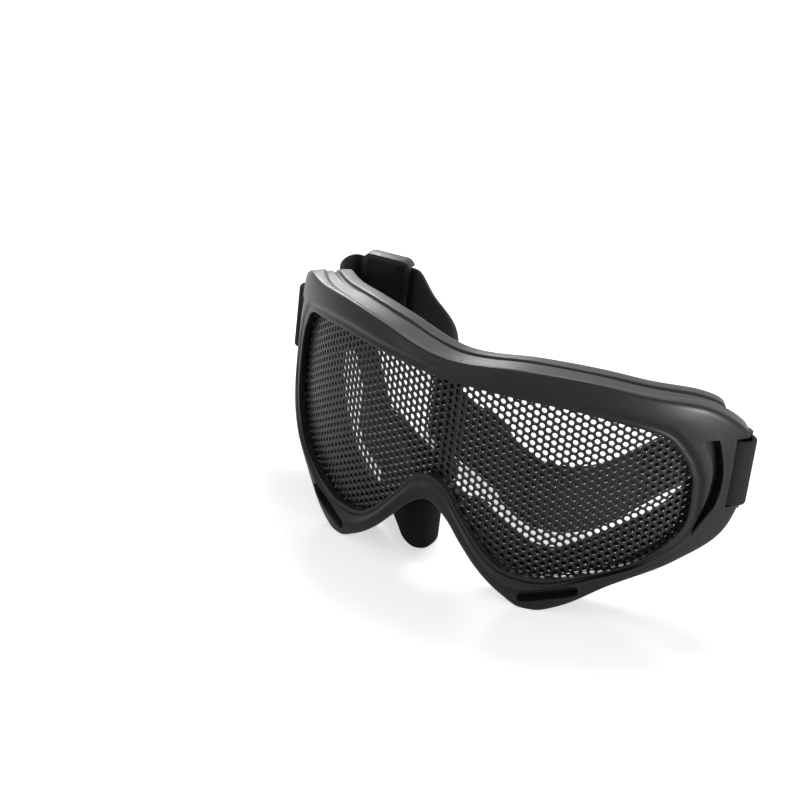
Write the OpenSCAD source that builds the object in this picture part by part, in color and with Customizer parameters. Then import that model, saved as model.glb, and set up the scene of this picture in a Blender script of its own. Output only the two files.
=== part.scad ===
// Tactical goggles with a perforated steel lens: a one-piece soft rim that wraps round the face,
// a bent mesh lens in its groove, a post behind the mesh and an elastic head strap with a slider.
// Millimetres. The front faces -Y, the wearer's left is +X, and the cheeks rest on Z = 0.
// The rim is drawn unrolled, as (s, z) along the lens cylinder and up, and then rolled round it.

/* [Lens] */
// Radius of the cylinder that the lens is bent to
lens_r = 97; // [88:1:112]
// Half the length of the lens opening along the bend
opening_half = 83; // [76:1:90]
// Thickness of the perforated steel sheet
mesh_t = 0.8; // [0.5:0.1:1.2]
// Distance between neighbouring holes
mesh_pitch = 5.4; // [5.2:0.1:8]
// Width of a hole across its corners
mesh_hole = 3.8; // [2:0.1:4.2]
// Clearance round the sheet in the rim's groove
sheet_gap = 0.4; // [0.2:0.05:0.6]
// How far the sheet reaches into the rim's groove
mesh_grip = 2.2; // [1:0.1:2.4]

/* [Rim] */
// Height of the rim from the cheeks to the top of the brow
rim_h = 80.3; // [72:0.1:90]
// Depth of the rim from its front to the edge on the face
rim_depth = 16.5; // [14.5:0.5:20]
// Depth of the rim over the nose
nose_depth = 12; // [11:0.5:13]
// Thickness of the rim's wall
wall_t = 2; // [1.4:0.1:2.2]
// Thickness of the front plate at its edge
plate_t = 3.3; // [2.5:0.1:4.5]
// Thickness of the wings at the temples
wing_t = 5; // [4:0.1:6]
// Thickness of a wing at its shoulder
shoulder_t = 8; // [6:0.5:9]
// How far the front face stands out past the opening's edge
crown = 1.2; // [0.4:0.1:2]
// Width of the opening's lip in front of the sheet
lip_t = 2.2; // [1.5:0.1:3]
// Thickness of the bead that holds the sheet from behind
bead_t = 1.4; // [1:0.1:2]
// How far the bead slopes back to the wall
bead_slope = 0.8; // [0.4:0.1:1.5]
// Share of the rim's depth at which the groove round it lies
band_share = 0.58; // [0.54:0.01:0.64]
// How deep the groove round the rim is
band_groove = 0.9; // [0.4:0.1:1.2]
// Thickness of the flange on the face at its edge
flange_t = 1.2; // [0.8:0.1:1.6]
// Share of the wrap angle by which the wall turns in towards the head
toe_in = 0.5; // [0.2:0.1:0.8]

/* [Recesses and slots] */
// Height of a cheek recess
recess_h = 3.6; // [2:0.2:4]
// Depth of a cheek recess behind the lens cylinder
recess_depth = 2.5; // [1.5:0.5:4]
// Width of a temple crescent slot at its middle
crescent_w = 3.4; // [2:0.1:3.8]
// Thickness left behind a temple crescent slot
crescent_floor = 1; // [0.6:0.1:1.6]

/* [Strap] */
// Width of the webbing
web_w = 25; // [23:1:26]
// Width of the webbing where it is gathered round a bar
loop_w = 22; // [18:1:23]
// Thickness of the webbing
web_t = 1.6; // [1.2:0.1:2.2]
// Width of the bar that the webbing goes round
bar_w = 4.4; // [3.6:0.1:5]
// Thickness of that bar
bar_t = 2.8; // [2.2:0.1:3.2]
// Arc length from the bar's axis to the end of the wing
bar_inset = 4; // [1.6:0.1:5.6]
// Height of the webbing's lower edge at the bar
bar_z = 40; // [36:0.5:41]
// Depth of the bar's axis behind the lens cylinder
bar_depth = 2; // [1:0.1:2.5]
// Length of the sewn tail of an end loop, from the bar's axis
tail_len = 14; // [10:0.5:16]
// Direction of a tail behind the rim, from the side
tail_angle = 42; // [35:1:50]
// Running clearance between the webbing and what it goes round
web_gap = 0.3; // [0.2:0.05:0.5]
// Extra room above and below the webbing at the bar
bar_room = 0.8; // [0.4:0.1:1.5]

/* [Slider] */
// Length of the slider along the webbing
slider_l = 21; // [19:1:24]
// Width of a slider's cross bar and rail
slider_rail = 2.6; // [2:0.2:3.6]
// Thickness of a slider's cross bar
slider_t = 1.6; // [1.2:0.1:2.4]
// Width of the slider's middle bar
slider_mid = 4; // [3:0.5:6]
// Play between the webbing and the slider's bars
slider_play = 0.6; // [0.5:0.1:1]

/* [Post] */
// Width of the post behind the lens at its middle
post_w = 5.2; // [4:0.2:8]
// Width of the post where it meets the rim
post_foot = 13; // [9:0.5:16]
// Depth of the post
post_d = 4; // [3:0.5:5]
// Gap between the post's ends and the rim
post_gap = 0.3; // [0.1:0.1:0.6]

/* [Hidden] */

// The drawn outlines are for this opening and this height, and are stretched to the sizes above
drawn_half = 83;
drawn_h = 79.8;

// Right half of the opening's edge, from the brow down to the nose, as (s, z)
opening_pts = [[0, 69.5], [22, 69.9], [41, 69.5], [58, 67], [71.3, 63.6], [78.6, 56.5], [81.3, 52],
    [83, 46.5], [82, 32.2], [68.8, 20.6], [52, 14.4], [41.5, 11.6], [34.3, 11.2], [26, 12.9], [19, 18.4],
    [11.4, 27], [6, 34], [0, 36.8]];

// Right half of the front plate's outer edge
plate_pts = [[0, 76.3], [25, 79.3], [45, 79.6], [64, 76.8], [84, 73.4], [98.4, 65.6], [102.3, 58.5],
    [103.6, 50], [98, 31], [82.7, 21], [63, 12], [48.6, 3], [37.3, -0.8], [28, 3.2], [20.2, 9],
    [13.8, 15.8], [7, 23.6], [0, 27.5]];

// Right half of the wall's outer face, where it leaves the plate
wall_pts = [[0, 75.8], [25, 78.7], [45, 78.6], [62.8, 76.2], [81.5, 73.2], [91.5, 67.9], [86.8, 59.8],
    [88, 48], [85.3, 33.5], [73, 20.6], [60, 12], [47.3, 4.2], [37.2, 0.6], [28.4, 4.4], [20.9, 10],
    [14.6, 16.8], [7.5, 24.8], [0, 28.8]];

// Right half of the inner edge of the flange that lies on the face, wide over the cheeks
flange_pts = [[0, 72.9], [24.4, 75.8], [44.3, 75.7], [61.8, 73.4], [79.3, 70.4], [86.6, 65], [84.6, 58.6],
    [84.8, 48], [78.5, 37], [67.5, 29], [54.4, 21.4], [44.5, 16.8], [37.2, 14.8], [28.6, 16.6],
    [19.8, 21.8], [13.9, 27.2], [7.4, 27.6], [0, 30.1]];

// Where the plate starts to thicken along the wing and at the shoulder, over what length it does so,
// and the plate's corner at the wing's end
wing_from = 70;
wing_run = 25;
shoulder_from = [40, 52];
shoulder_run = [50, 14];
wing_end = 7;

// Corners of a temple crescent slot, and the line of a cheek recess
crescent_in = [[84.3, 62.7], [88, 56], [89.1, 50.7], [89, 45], [88.1, 40.5], [84.7, 29.8]];
recess_line = [[34.5, 4.3], [51, 8.8]];

// Steps between two drawn points, and depth of the sheet's front face
steps = 4;
sheet_d = lip_t + sheet_gap;

// Where the webbing lies between its end loops, as (x, y, z of its lower edge), on edge on the floor
// but for the stretch in the slider, which is straight and stands on the slider's lower rail
lift = slider_rail + web_gap;
strap_pts = [[-66, 60, 33], [-53, 50, 19], [-41, 41, 7], [-32, 33.5, 1.5], [-24.5, 26.5, 0],
    [-17, 18.8, 0], [-11.3, 15.9, 0], [-8.4, 19, 0], [-10.8, 28.5, 0], [-22, 38, 0], [-38, 47.5, 0],
    [-52, 57, 0], [-65, 68, 0], [-77, 83, 0], [-87, 100, 0], [-96, 115, 0], [-105, 127, 0], [-115, 136, 0],
    [-125.5, 142.4, 0], [-132.8, 147.8, 0], [-136.8, 153.3, 0.8], [-137.1, 158, 2], [-134.79, 160.57, lift],
    [-129.87, 161.43, lift], [-121, 163, lift], [-113.12, 164.39, lift], [-109.18, 165.08, lift],
    [-104.6, 162, lift], [-92.5, 151.5, 0.8], [-74, 136, 0], [-61.5, 119, 0],
    [-56.8, 105, 0], [-54.3, 93.5, 0], [-47.5, 87.3, 0], [-38, 83.6, 0], [-27, 78, 0],
    [-16, 74, 0], [-4, 63.5, 0], [8, 56.3, 0], [20, 59, 0], [29, 68, 2],
    [37, 76.5, 8], [47, 77, 18], [58, 70.5, 29], [66, 64, 36]];
slider_at = 24;

// The end of the right tail and the depths of the rim, at large and over the nose, for which the
// webbing was drawn, and how many points at each end follow the tails while the others stay behind
// the rim
drawn_tail = [70.66, 57.4, 40];
drawn_depth = [16.5, 12];
following = 6;

function mirrored(p) = concat(p, [for (i = [len(p) - 2:-1:1]) [-p[i][0], p[i][1]]]);
function stretched(p) = [for (q = p) [q[0] * opening_half / drawn_half, q[1] * rim_h / drawn_h]];

// A smooth curve through four neighbouring points, at share t of the middle stretch
function through(a, b, c, d, t) =
    ((2 * b) + (c - a) * t + (2 * a - 5 * b + 4 * c - d) * t * t + (3 * b - a - 3 * c + d) * t * t * t) / 2;
function ring_of(p) = let(n = len(p)) [for (i = [0:n - 1]) for (j = [0:steps - 1])
    through(p[(i + n - 1) % n], p[i], p[(i + 1) % n], p[(i + 2) % n], j / steps)];

opening = ring_of(mirrored(stretched(opening_pts)));
plate = ring_of(mirrored(stretched(plate_pts)));
wall = ring_of(mirrored(stretched(wall_pts)));
flange = ring_of(mirrored(stretched(flange_pts)));
count = len(opening);

// Rolls a point of the unrolled drawing round the lens cylinder, at a depth behind the front
function angle_at(s) = s / lens_r * 180 / PI;
function rolled(s, z, d) = let(a = angle_at(s), b = toe_in * a)
    [lens_r * sin(a) - d * sin(b), lens_r * (1 - cos(a)) + d * cos(b), z];

// A point at distance w from p towards q
function towards(p, q, w) = p + (q - p) * w / norm(q - p);

// Thickness of the plate's edge: thin over the brow, thicker in the wings, thickest at the shoulders
function ease(t) = let(u = min(max(t, 0), 1)) u * u * (3 - 2 * u);
function edge_t(p) = let(q = [abs(p[0]) * drawn_half / opening_half, p[1] * drawn_h / rim_h],
        wing = ease((q[0] - wing_from) / wing_run),
        along = ease((q[0] - shoulder_from[0]) / shoulder_run[0]),
        shoulder = along * ease((q[1] - shoulder_from[1]) / shoulder_run[1]))
    plate_t + (wing_t - plate_t) * wing + (shoulder_t - wing_t) * shoulder;
edge_drop = 0.4;
function back_at(p) = edge_t(p) - crown - edge_drop;

// The rim's section at station i, as (s, z, depth) from the lip round the outside and back
function nose_share(p) = exp(-pow(p[0] / 22, 2)) * (p[1] < rim_h / 2 ? 1 : 0);
function section(i) = let(a = opening[i], b = plate[i], c = wall[i], f = flange[i], m = (a + b) / 2,
        front = -crown, back = back_at(b),
        rear = rim_depth + (nose_depth - rim_depth) * nose_share(c), band = band_share * rear,
        inner = towards(c, a, wall_t), seat = towards(a, c, mesh_grip + sheet_gap),
        bead = towards(a, c, 1), groove = towards(c, a, band_groove), flare = towards(c, a, 0.5),
        g0 = lip_t, g1 = sheet_d + mesh_t + sheet_gap)
    [concat(a, 0.7), concat(towards(a, b, 0.7), 0), concat(m, front),
    concat(towards(b, a, 1.2), front - edge_drop), concat(b, front + 1),
    concat(towards(b, a, 0.2), back), concat(c, back + 0.7),
    concat(c, band - 0.8), concat(groove, band + 0.3), concat(c, band + 1.4), concat(flare, rear - 0.8),
    concat(towards(c, a, 1), rear), concat(f, rear), concat(f, rear - flange_t),
    concat(inner, rear - 2 * flange_t), concat(inner, g1 + bead_t + bead_slope),
    concat(bead, g1 + bead_t), concat(bead, g1), concat(seat, g1), concat(seat, g0), concat(a, g0)];

sections = [for (i = [0:count - 1]) section(i)];
ring = len(sections[0]);

// A closed skin over stations that run round and come back to the first
function round_faces(n, m) = [for (i = [0:n - 1]) for (j = [0:m - 1])
    let(p = i * m + j, q = i * m + (j + 1) % m, r = ((i + 1) % n) * m + j,
        s = ((i + 1) % n) * m + (j + 1) % m)
    each [[p, q, s], [p, s, r]]];

// Place of the bar's axis, seen from above
bar_s = stretched(plate_pts)[wing_end][0] - bar_inset;
bar_angle = angle_at(bar_s);
bar_at = [(lens_r - bar_depth) * sin(bar_angle), lens_r - (lens_r - bar_depth) * cos(bar_angle)];
loop_in = norm([bar_w, bar_t]) / 2 + web_gap;
loop_out = loop_in + web_t;
notch_r = loop_out + web_gap + 0.2;
tail_dir = [-cos(tail_angle), sin(tail_angle)];
tail_end = bar_at + tail_len * tail_dir;

module rim_skin() {
    polyhedron(points = rim_points, faces = round_faces(count, ring), convexity = 8);
}

// Stands a drawing of (s, z) up on the lens cylinder at s0, square to the face there, from in front
// of the rim to a depth behind the lens cylinder
cut_front = 4;
module through_face(s0, depth) {
    translate(rolled(s0, 0, 0)) rotate([0, 0, angle_at(s0)]) translate([0, depth, 0]) rotate([90, 0, 0])
        linear_extrude(depth + cut_front) translate([-s0, 0]) children();
}

module crescent_cut() {
    inner = stretched(crescent_in);
    outer = [for (i = [len(inner) - 2:-1:0])
        inner[i] + (i == 0 ? [crescent_w + 1.4, -0.2] : [crescent_w, -0.6])];
    through_face(inner[2][0], wing_t - crown - edge_drop - crescent_floor) polygon(concat(inner, outer));
}

module recess_cut() {
    ends = stretched(recess_line);
    run = ends[1] - ends[0];
    turn = atan2(run[1], run[0]);
    through_face((ends[0][0] + ends[1][0]) / 2, recess_depth)
        polygon([for (k = [0, 1]) for (a = [-90:15:90])
            ends[1 - k] + recess_h / 2 * [cos(turn + 180 * k + a), sin(turn + 180 * k + a)]]);
}

// Room for the end loop round the bar, open at the wing's end
module bar_notch() {
    h = loop_w + 2 * bar_room;
    translate([bar_at[0], bar_at[1], bar_z - bar_room]) rotate([0, 0, bar_angle]) {
        cylinder(r = notch_r, h = h, $fn = 48);
        translate([0, -notch_r, 0]) cube([2 * notch_r, 2 * notch_r, h]);
    }
}

module bar() {
    embed = 1.5;
    translate([bar_at[0], bar_at[1], bar_z - bar_room - embed]) rotate([0, 0, bar_angle])
        linear_extrude(loop_w + 2 * bar_room + 2 * embed)
            translate([-bar_w / 2, -bar_t / 2]) square([bar_w, bar_t]);
}

module frame_shell() {
    color([0.12, 0.12, 0.13]) translate(place) {
        difference() {
            rim_skin();
            for (side = [0, 1]) mirror([side, 0, 0]) {
                crescent_cut();
                recess_cut();
                bar_notch();
            }
            translate([-2 * lens_r, -lens_r, -rim_depth]) cube([4 * lens_r, 3 * lens_r, rim_depth]);
        }
        for (side = [0, 1]) mirror([side, 0, 0]) bar();
    }
}

// Distances from a point to the sheet's edge decide which holes are punched
function crosses(p, a, b) = ((a[1] > p[1]) != (b[1] > p[1])) &&
    (p[0] < (b[0] - a[0]) * (p[1] - a[1]) / (b[1] - a[1]) + a[0]);
function hits(p, poly, i = 0) = i == len(poly) ? 0 :
    (crosses(p, poly[i], poly[(i + 1) % len(poly)]) ? 1 : 0) + hits(p, poly, i + 1);
function inside(p, poly) = hits(p, poly) % 2 == 1;
function clear_hole(p, poly, r) =
    min([for (k = [0:7]) inside(p + r * [cos(k * 45), sin(k * 45)], poly) ? 1 : 0]) == 1;

sheet = [for (i = [0:count - 1]) towards(opening[i], wall[i], mesh_grip)];
column = mesh_pitch * sqrt(3) / 2;
columns_per_panel = 3;
panel = columns_per_panel * column;
panels = ceil((opening_half + mesh_grip) / panel);

// One flat panel of the bent sheet, from s0 to s0 + panel, with its columns of staggered holes
module sheet_panel(k) {
    s0 = k * panel;
    a = rolled(s0, 0, sheet_d);
    b = rolled(s0 + panel, 0, sheet_d);
    overlap = 0.03;
    translate([a[0], a[1], 0]) rotate([0, 0, atan2(b[1] - a[1], b[0] - a[0])])
        translate([0, mesh_t, 0]) rotate([90, 0, 0]) linear_extrude(mesh_t)
            scale([norm(b - a) / panel, 1]) translate([-s0, 0]) difference() {
                intersection() {
                    polygon(sheet);
                    translate([s0 - overlap, 0]) square([panel + 2 * overlap, rim_h]);
                }
                for (c = [0:columns_per_panel - 1]) for (row = [0:ceil(rim_h / mesh_pitch)]) {
                    col = k * columns_per_panel + c;
                    at = [(col + 0.5) * column, (row + (abs(col) % 2) / 2) * mesh_pitch];
                    if (clear_hole(at, opening, mesh_hole / 2))
                        translate(at) circle(d = mesh_hole, $fn = 6);
                }
            }
}

module mesh_lens() {
    color([0.2, 0.2, 0.21]) translate(place) for (k = [-panels:panels - 1]) sheet_panel(k);
}

// Brow and nose ends of the post, seated on the rim's inner face
post_front = sheet_d + mesh_t + sheet_gap + bead_t + bead_slope + post_gap;
post_top = wall[0][1] - wall_t - post_gap;
post_bottom = wall[count / 2][1] + wall_t + post_gap;

module centre_post() {
    flare = 9;
    foot_in = 4;
    half = [[post_w / 2, post_bottom + flare], [post_w / 2, post_top - flare],
        [post_w / 2 + 1.2, post_top - flare / 2], [post_foot / 2, post_top - 0.4],
        [post_foot / 2 - 1, post_top]];
    low = [[post_foot / 2 - foot_in, post_bottom - 0.2], [post_foot / 2 - 1.6, post_bottom + flare / 2.4]];
    right = concat(low, half);
    color([0.1, 0.1, 0.11]) translate(place + [0, post_front + post_d, 0]) rotate([90, 0, 0])
        linear_extrude(post_d)
            polygon(concat(right, [for (i = [len(right) - 1:-1:0]) [-right[i][0], right[i][1]]]));
}

// The webbing's run between its two tails, with a station every third of a drawn stretch
tail_gap = 0.3;
function tail_point(side, l) = let(p = bar_at + l * tail_dir) [side * p[0], p[1], bar_z];
tail_shift = tail_point(1, tail_len + tail_gap) - drawn_tail;
last_drawn = len(strap_pts) - 1;
rim_shift = [0, max(rim_depth - drawn_depth[0], nose_depth - drawn_depth[1]), 0];
strap_line = [for (i = [0:last_drawn])
    let(side = i < last_drawn / 2 ? -1 : 1, follow = ease(1 - min(i, last_drawn - i) / following))
    strap_pts[i] + follow * [side * tail_shift[0], tail_shift[1], tail_shift[2]] + (1 - follow) * rim_shift];
run_pts = concat([tail_point(-1, tail_len + tail_gap)], strap_line,
    [tail_point(1, tail_len + tail_gap)]);
run_steps = 3;
function floored(p) = [p[0], p[1], max(p[2], 0)];
last_run = len(run_pts) - 1;
run = concat([for (i = [0:last_run - 1]) for (j = [0:run_steps - 1])
    floored(through(i == 0 ? tail_point(-1, tail_len / 2) : run_pts[i - 1], run_pts[i], run_pts[i + 1],
        i == last_run - 1 ? tail_point(1, tail_len / 2) : run_pts[i + 2], j / run_steps))],
    [run_pts[last_run]]);

// Square to the run, seen from above
function side_at(i) = let(a = run[max(i - 1, 0)], b = run[min(i + 1, len(run) - 1)], d = b - a,
    l = norm([d[0], d[1]])) [-d[1] / l, d[0] / l, 0];

// The shift that puts the origin under the middle of the whole object
rim_points = [for (st = sections) for (p = st) rolled(p[0], p[1], p[2])];
web_points = [for (i = [0:len(run) - 1]) for (w = [-1, 1]) run[i] + side_at(i) * w * web_t / 2];
slider_turn = let(d = strap_pts[slider_at + 1] - strap_pts[slider_at - 1]) atan2(d[1], d[0]);
layer = web_t / 2 + slider_play;
slider_back = strap_line[slider_at][1] + slider_l / 2 * sin(slider_turn)
    + (layer + slider_t) * cos(slider_turn);
x_low = min([for (p = web_points) p[0]]);
x_high = bar_at[0] + loop_out;
y_low = min([for (p = rim_points) p[1]]);
y_high = max(slider_back, max([for (p = web_points) p[1]]));
place = -[x_low + x_high, y_low + y_high, 0] / 2;

module strap_main() {
    n = len(run);
    edge = 0.4;
    gathered = 12;
    function width_at(i) = loop_w + (web_w - loop_w) * ease(min(i, n - 1 - i) / gathered);
    section = [[-1, 0, edge], [-1, 1, -edge], [-0.4, 1, 0], [0.4, 1, 0],
        [1, 1, -edge], [1, 0, edge], [0.4, 0, 0], [-0.4, 0, 0]];
    m = len(section);
    points = [for (i = [0:n - 1]) for (q = section)
        run[i] + side_at(i) * q[0] * web_t / 2 + [0, 0, q[1] * width_at(i) + q[2]]];
    skin = [for (i = [0:n - 2]) for (j = [0:m - 1])
        let(p = i * m + j, q = i * m + (j + 1) % m)
        each [[p, q, q + m], [p, q + m, p + m]]];
    caps = [for (j = [1:m - 2])
        each [[0, j + 1, j], [(n - 1) * m, (n - 1) * m + j, (n - 1) * m + j + 1]]];
    color([0.15, 0.15, 0.16]) translate(place)
        polyhedron(points = points, faces = concat(skin, caps), convexity = 10);
}

// The webbing folded round the right bar and back along itself
module end_loop() {
    translate([bar_at[0], bar_at[1], bar_z]) rotate([0, 0, 180 - tail_angle])
        linear_extrude(loop_w) difference() {
            union() {
                circle(r = loop_out, $fn = 48);
                translate([0, -web_t]) square([tail_len, 2 * web_t]);
            }
            circle(r = loop_in, $fn = 48);
        }
}

module strap_loop_right() { color([0.16, 0.16, 0.17]) translate(place) end_loop(); }
module strap_loop_left() { color([0.16, 0.16, 0.17]) translate(place) mirror([1, 0, 0]) end_loop(); }

// Two rows of sewn thread on both faces of the right tail
stitch_len = 2.2;
stitch_d = 0.7;
stitch_h = 0.35;
stitch_rows = [8.2, 11.2];
stitches = 7;
module stitching() {
    pitch = (loop_w - 2) / stitches;
    translate([bar_at[0], bar_at[1], bar_z + 1]) rotate([0, 0, 180 - tail_angle])
        for (row = stitch_rows) for (k = [0:stitches - 1]) for (face = [-1, 1])
            translate([row - stitch_d / 2, face > 0 ? web_t : -web_t - stitch_h,
                k * pitch + (pitch - stitch_len) / 2])
                cube([stitch_d, stitch_h, stitch_len]);
}

module stitch_right() { color([0.3, 0.3, 0.31]) translate(place) stitching(); }
module stitch_left() { color([0.3, 0.3, 0.31]) translate(place) mirror([1, 0, 0]) stitching(); }

// A ladder slider: two cross bars in front of the webbing, the middle bar behind it, and a rail
// above and below, with one slot on each side of the middle bar
module slider() {
    inside_h = web_w + 2 * web_gap;
    h = inside_h + 2 * slider_rail;
    corner = 4;
    slot = (slider_l - slider_mid) / 2 - slider_rail;
    color([0.09, 0.09, 0.1]) translate(place + strap_line[slider_at] + [0, 0, web_w / 2])
        rotate([0, 0, slider_turn]) rotate([90, 0, 0]) difference() {
            translate([0, 0, -layer - slider_t]) linear_extrude(2 * (layer + slider_t)) {
                square([slider_l - 2 * corner, h], center = true);
                square([slider_l, h - 2 * corner], center = true);
                for (x = [-1, 1]) for (y = [-1, 1])
                    translate([x * (slider_l / 2 - corner), y * (h / 2 - corner)])
                        circle(r = corner, $fn = 32);
            }
            cube([slider_l + 1, inside_h, 2 * layer], center = true);
            translate([0, 0, layer + slider_t / 2])
                cube([slider_mid + 2 * slot, inside_h, slider_t + 1], center = true);
            for (x = [-1, 1]) translate([x * (slider_l + slider_mid + 1) / 4, 0, -layer - slider_t / 2])
                cube([(slider_l - slider_mid + 1) / 2, inside_h, slider_t + 1], center = true);
        }
}

frame_shell();
mesh_lens();
centre_post();
strap_main();
strap_loop_left();
strap_loop_right();
stitch_left();
stitch_right();
slider();
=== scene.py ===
"""Tactical goggles with a perforated steel lens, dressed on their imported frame.

Shapes are worked out in millimetres in the frame that the goggles were drawn in: s runs along the
lens cylinder, z up, and d back from the front of the rim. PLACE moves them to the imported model.
"""
import math

import bmesh
import bpy
import numpy as np
from mathutils import Matrix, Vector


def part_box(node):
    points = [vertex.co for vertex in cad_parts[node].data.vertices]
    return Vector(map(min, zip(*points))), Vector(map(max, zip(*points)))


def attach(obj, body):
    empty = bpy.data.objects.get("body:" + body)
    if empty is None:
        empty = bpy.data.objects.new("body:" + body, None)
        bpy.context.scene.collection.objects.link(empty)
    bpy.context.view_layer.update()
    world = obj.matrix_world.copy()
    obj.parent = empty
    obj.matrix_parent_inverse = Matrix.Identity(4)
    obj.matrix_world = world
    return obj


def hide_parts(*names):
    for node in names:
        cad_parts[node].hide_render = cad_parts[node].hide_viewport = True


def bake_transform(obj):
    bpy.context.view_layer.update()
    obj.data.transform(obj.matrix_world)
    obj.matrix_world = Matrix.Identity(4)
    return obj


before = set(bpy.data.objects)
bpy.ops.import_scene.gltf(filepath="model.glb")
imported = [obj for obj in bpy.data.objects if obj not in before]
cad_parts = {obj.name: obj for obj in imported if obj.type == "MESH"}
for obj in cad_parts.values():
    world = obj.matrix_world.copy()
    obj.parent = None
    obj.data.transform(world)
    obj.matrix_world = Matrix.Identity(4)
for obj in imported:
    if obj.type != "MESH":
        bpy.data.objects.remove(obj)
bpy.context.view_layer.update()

bl_info = {
    "name": "Tactical goggles",
    "version": (1, 0, 0),
    "blender": (4, 5, 0),
    "location": "View3D > Sidebar > Goggles",
    "description": "Builds the rim, perforated lens, strap and slider of a pair of tactical goggles",
    "category": "Object",
}

MM = 0.001

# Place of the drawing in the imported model: the post stands in the middle, 6.3 mm behind the front
post_low, post_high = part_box("centre_post")
POST_DEPTH = 6.3
PLACE = np.array([(post_low.x + post_high.x) / 2 / MM, post_low.y / MM - POST_DEPTH, 0.0])

# Right halves of the drawn outlines, as (s, z): the lens opening, the front plate, the wall behind it and
# the inner edge of the flange on the face
OPENING = [[0, 69.5], [22, 69.9], [41, 69.5], [58, 67], [71.3, 63.6], [78.6, 56.5], [81.3, 52],
           [83, 46.5], [82, 32.2], [68.8, 20.6], [52, 14.4], [41.5, 11.6], [34.3, 11.2], [26, 12.9],
           [19, 18.4], [11.4, 27], [6, 34], [0, 36.8]]
PLATE = [[0, 76.3], [25, 79.3], [45, 79.6], [64, 76.8], [84, 73.4], [98.4, 65.6], [102.3, 58.5],
         [103.6, 50], [98, 31], [82.7, 21], [63, 12], [48.6, 3], [37.3, -0.8], [28, 3.2],
         [20.2, 9], [13.8, 15.8], [7, 23.6], [0, 27.5]]
WALL = [[0, 75.8], [25, 78.7], [45, 78.6], [62.8, 76.2], [81.5, 73.2], [91.5, 67.9], [86.8, 59.8],
        [88, 48], [85.3, 33.5], [73, 20.6], [60, 12], [47.3, 4.2], [37.2, 0.6], [28.4, 4.4],
        [20.9, 10], [14.6, 16.8], [7.5, 24.8], [0, 28.8]]
FLANGE = [[0, 72.9], [24.4, 75.8], [44.3, 75.7], [61.8, 73.4], [79.3, 70.4], [86.6, 65], [84.6, 58.6],
          [84.8, 48], [78.5, 37], [67.5, 29], [54.4, 21.4], [44.5, 16.8], [37.2, 14.8],
          [28.6, 16.6], [19.8, 21.8], [13.9, 27.2], [7.4, 27.6], [0, 30.1]]

# How much higher than drawn these outlines are made
RISE = 80.3 / 79.8

# How much less deep the rim is over the nose, and breadth and top of the bell curve of s that it follows
NOSE_CUT = 4.5
NOSE_BREADTH = 22
NOSE_TOP = 40.15

# Inner side and width of the temple slot, and ends and half height of the cheek recess
CRESCENT = [[84.3, 62.7], [88, 56], [89.1, 50.7], [89, 45], [88.1, 40.5], [84.7, 29.8]]
CRESCENT_WIDTH = 3.4
RECESS = [[34.5, 4.3], [51, 8.8]]
RECESS_HALF = 1.8

# Layers of the cutters that sink them into the front, as (offset outwards, depth)
SLOT_LAYERS = [(1.0, -4), (0.6, -1.5), (0.2, -1.0), (0.02, -0.5), (-0.1, 1.9), (-0.5, 2.4)]
RECESS_LAYERS = [(1.3, -4), (0.8, -1.5), (0.35, -1.1), (0.05, -0.6), (-0.3, 1.8), (-0.9, 2.5)]

# Depth of the lens's front face and of the two sides of its groove, and how far the sheet and the groove
# run past the opening
SHEET_DEPTH = 2.6
GROOVE = (2.2, 3.8)
SHEET_REACH = 2.2
GROOVE_REACH = 2.6

# Where the webbing lies, as (x, y, z of its lower edge)
LIFT = 2.9
STRAP = [[-66, 60, 33], [-53, 50, 19], [-41, 41, 7], [-32, 33.5, 1.5], [-24.5, 26.5, 0],
         [-17, 18.8, 0], [-11.3, 15.9, 0], [-8.4, 19, 0], [-10.8, 28.5, 0], [-22, 38, 0], [-38, 47.5, 0],
         [-52, 57, 0], [-65, 68, 0], [-77, 83, 0], [-87, 100, 0], [-96, 115, 0], [-105, 127, 0],
         [-115, 136, 0], [-125.5, 142.4, 0], [-132.8, 147.8, 0], [-136.8, 153.3, 0.8], [-137.1, 158, 2],
         [-134.79, 160.57, LIFT], [-129.87, 161.43, LIFT], [-121, 163, LIFT], [-113.12, 164.39, LIFT],
         [-109.18, 165.08, LIFT], [-104.6, 162, LIFT], [-92.5, 151.5, 0.8], [-74, 136, 0],
         [-61.5, 119, 0], [-56.8, 105, 0], [-54.3, 93.5, 0], [-47.5, 87.3, 0], [-38, 83.6, 0],
         [-27, 78, 0], [-16, 74, 0], [-4, 63.5, 0], [8, 56.3, 0], [20, 59, 0], [29, 68, 2],
         [37, 76.5, 8], [47, 77, 18], [58, 70.5, 29], [66, 64, 36]]

# Half width and half depth of a strap bar, its place along s and behind the lens cylinder, and its gap to
# the webbing
BAR_HALF = (2.2, 1.4)
BAR_S = 99.6
BAR_DEPTH = 2.0
BAR_GAP = 0.3

# Width and thickness of the webbing, and width and lower edge of the end loops
WEB_WIDTH = 25.0
WEB = 1.6
LOOP_WIDTH = 22.0
LOOP_Z = 40.0

# A loop's two tails: how far they turn in from the side, how far their middle lines lie from the line between
# them, and their length from the bar
TAIL_ANGLE = math.radians(42)
TAIL_OFFSET = 0.81
TAIL_LENGTH = 14

# Distances from the bar along the tails of a point that steers the strap's curve and of the strap's own end
TAIL_RUN = (7.0, 14.3)

# Distance of the stitch rows from the bar, stitches in a row, and length of a stitch
STITCH_ROWS = (8.2, 11.2)
STITCHES = 7
STITCH = 2.2

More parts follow.
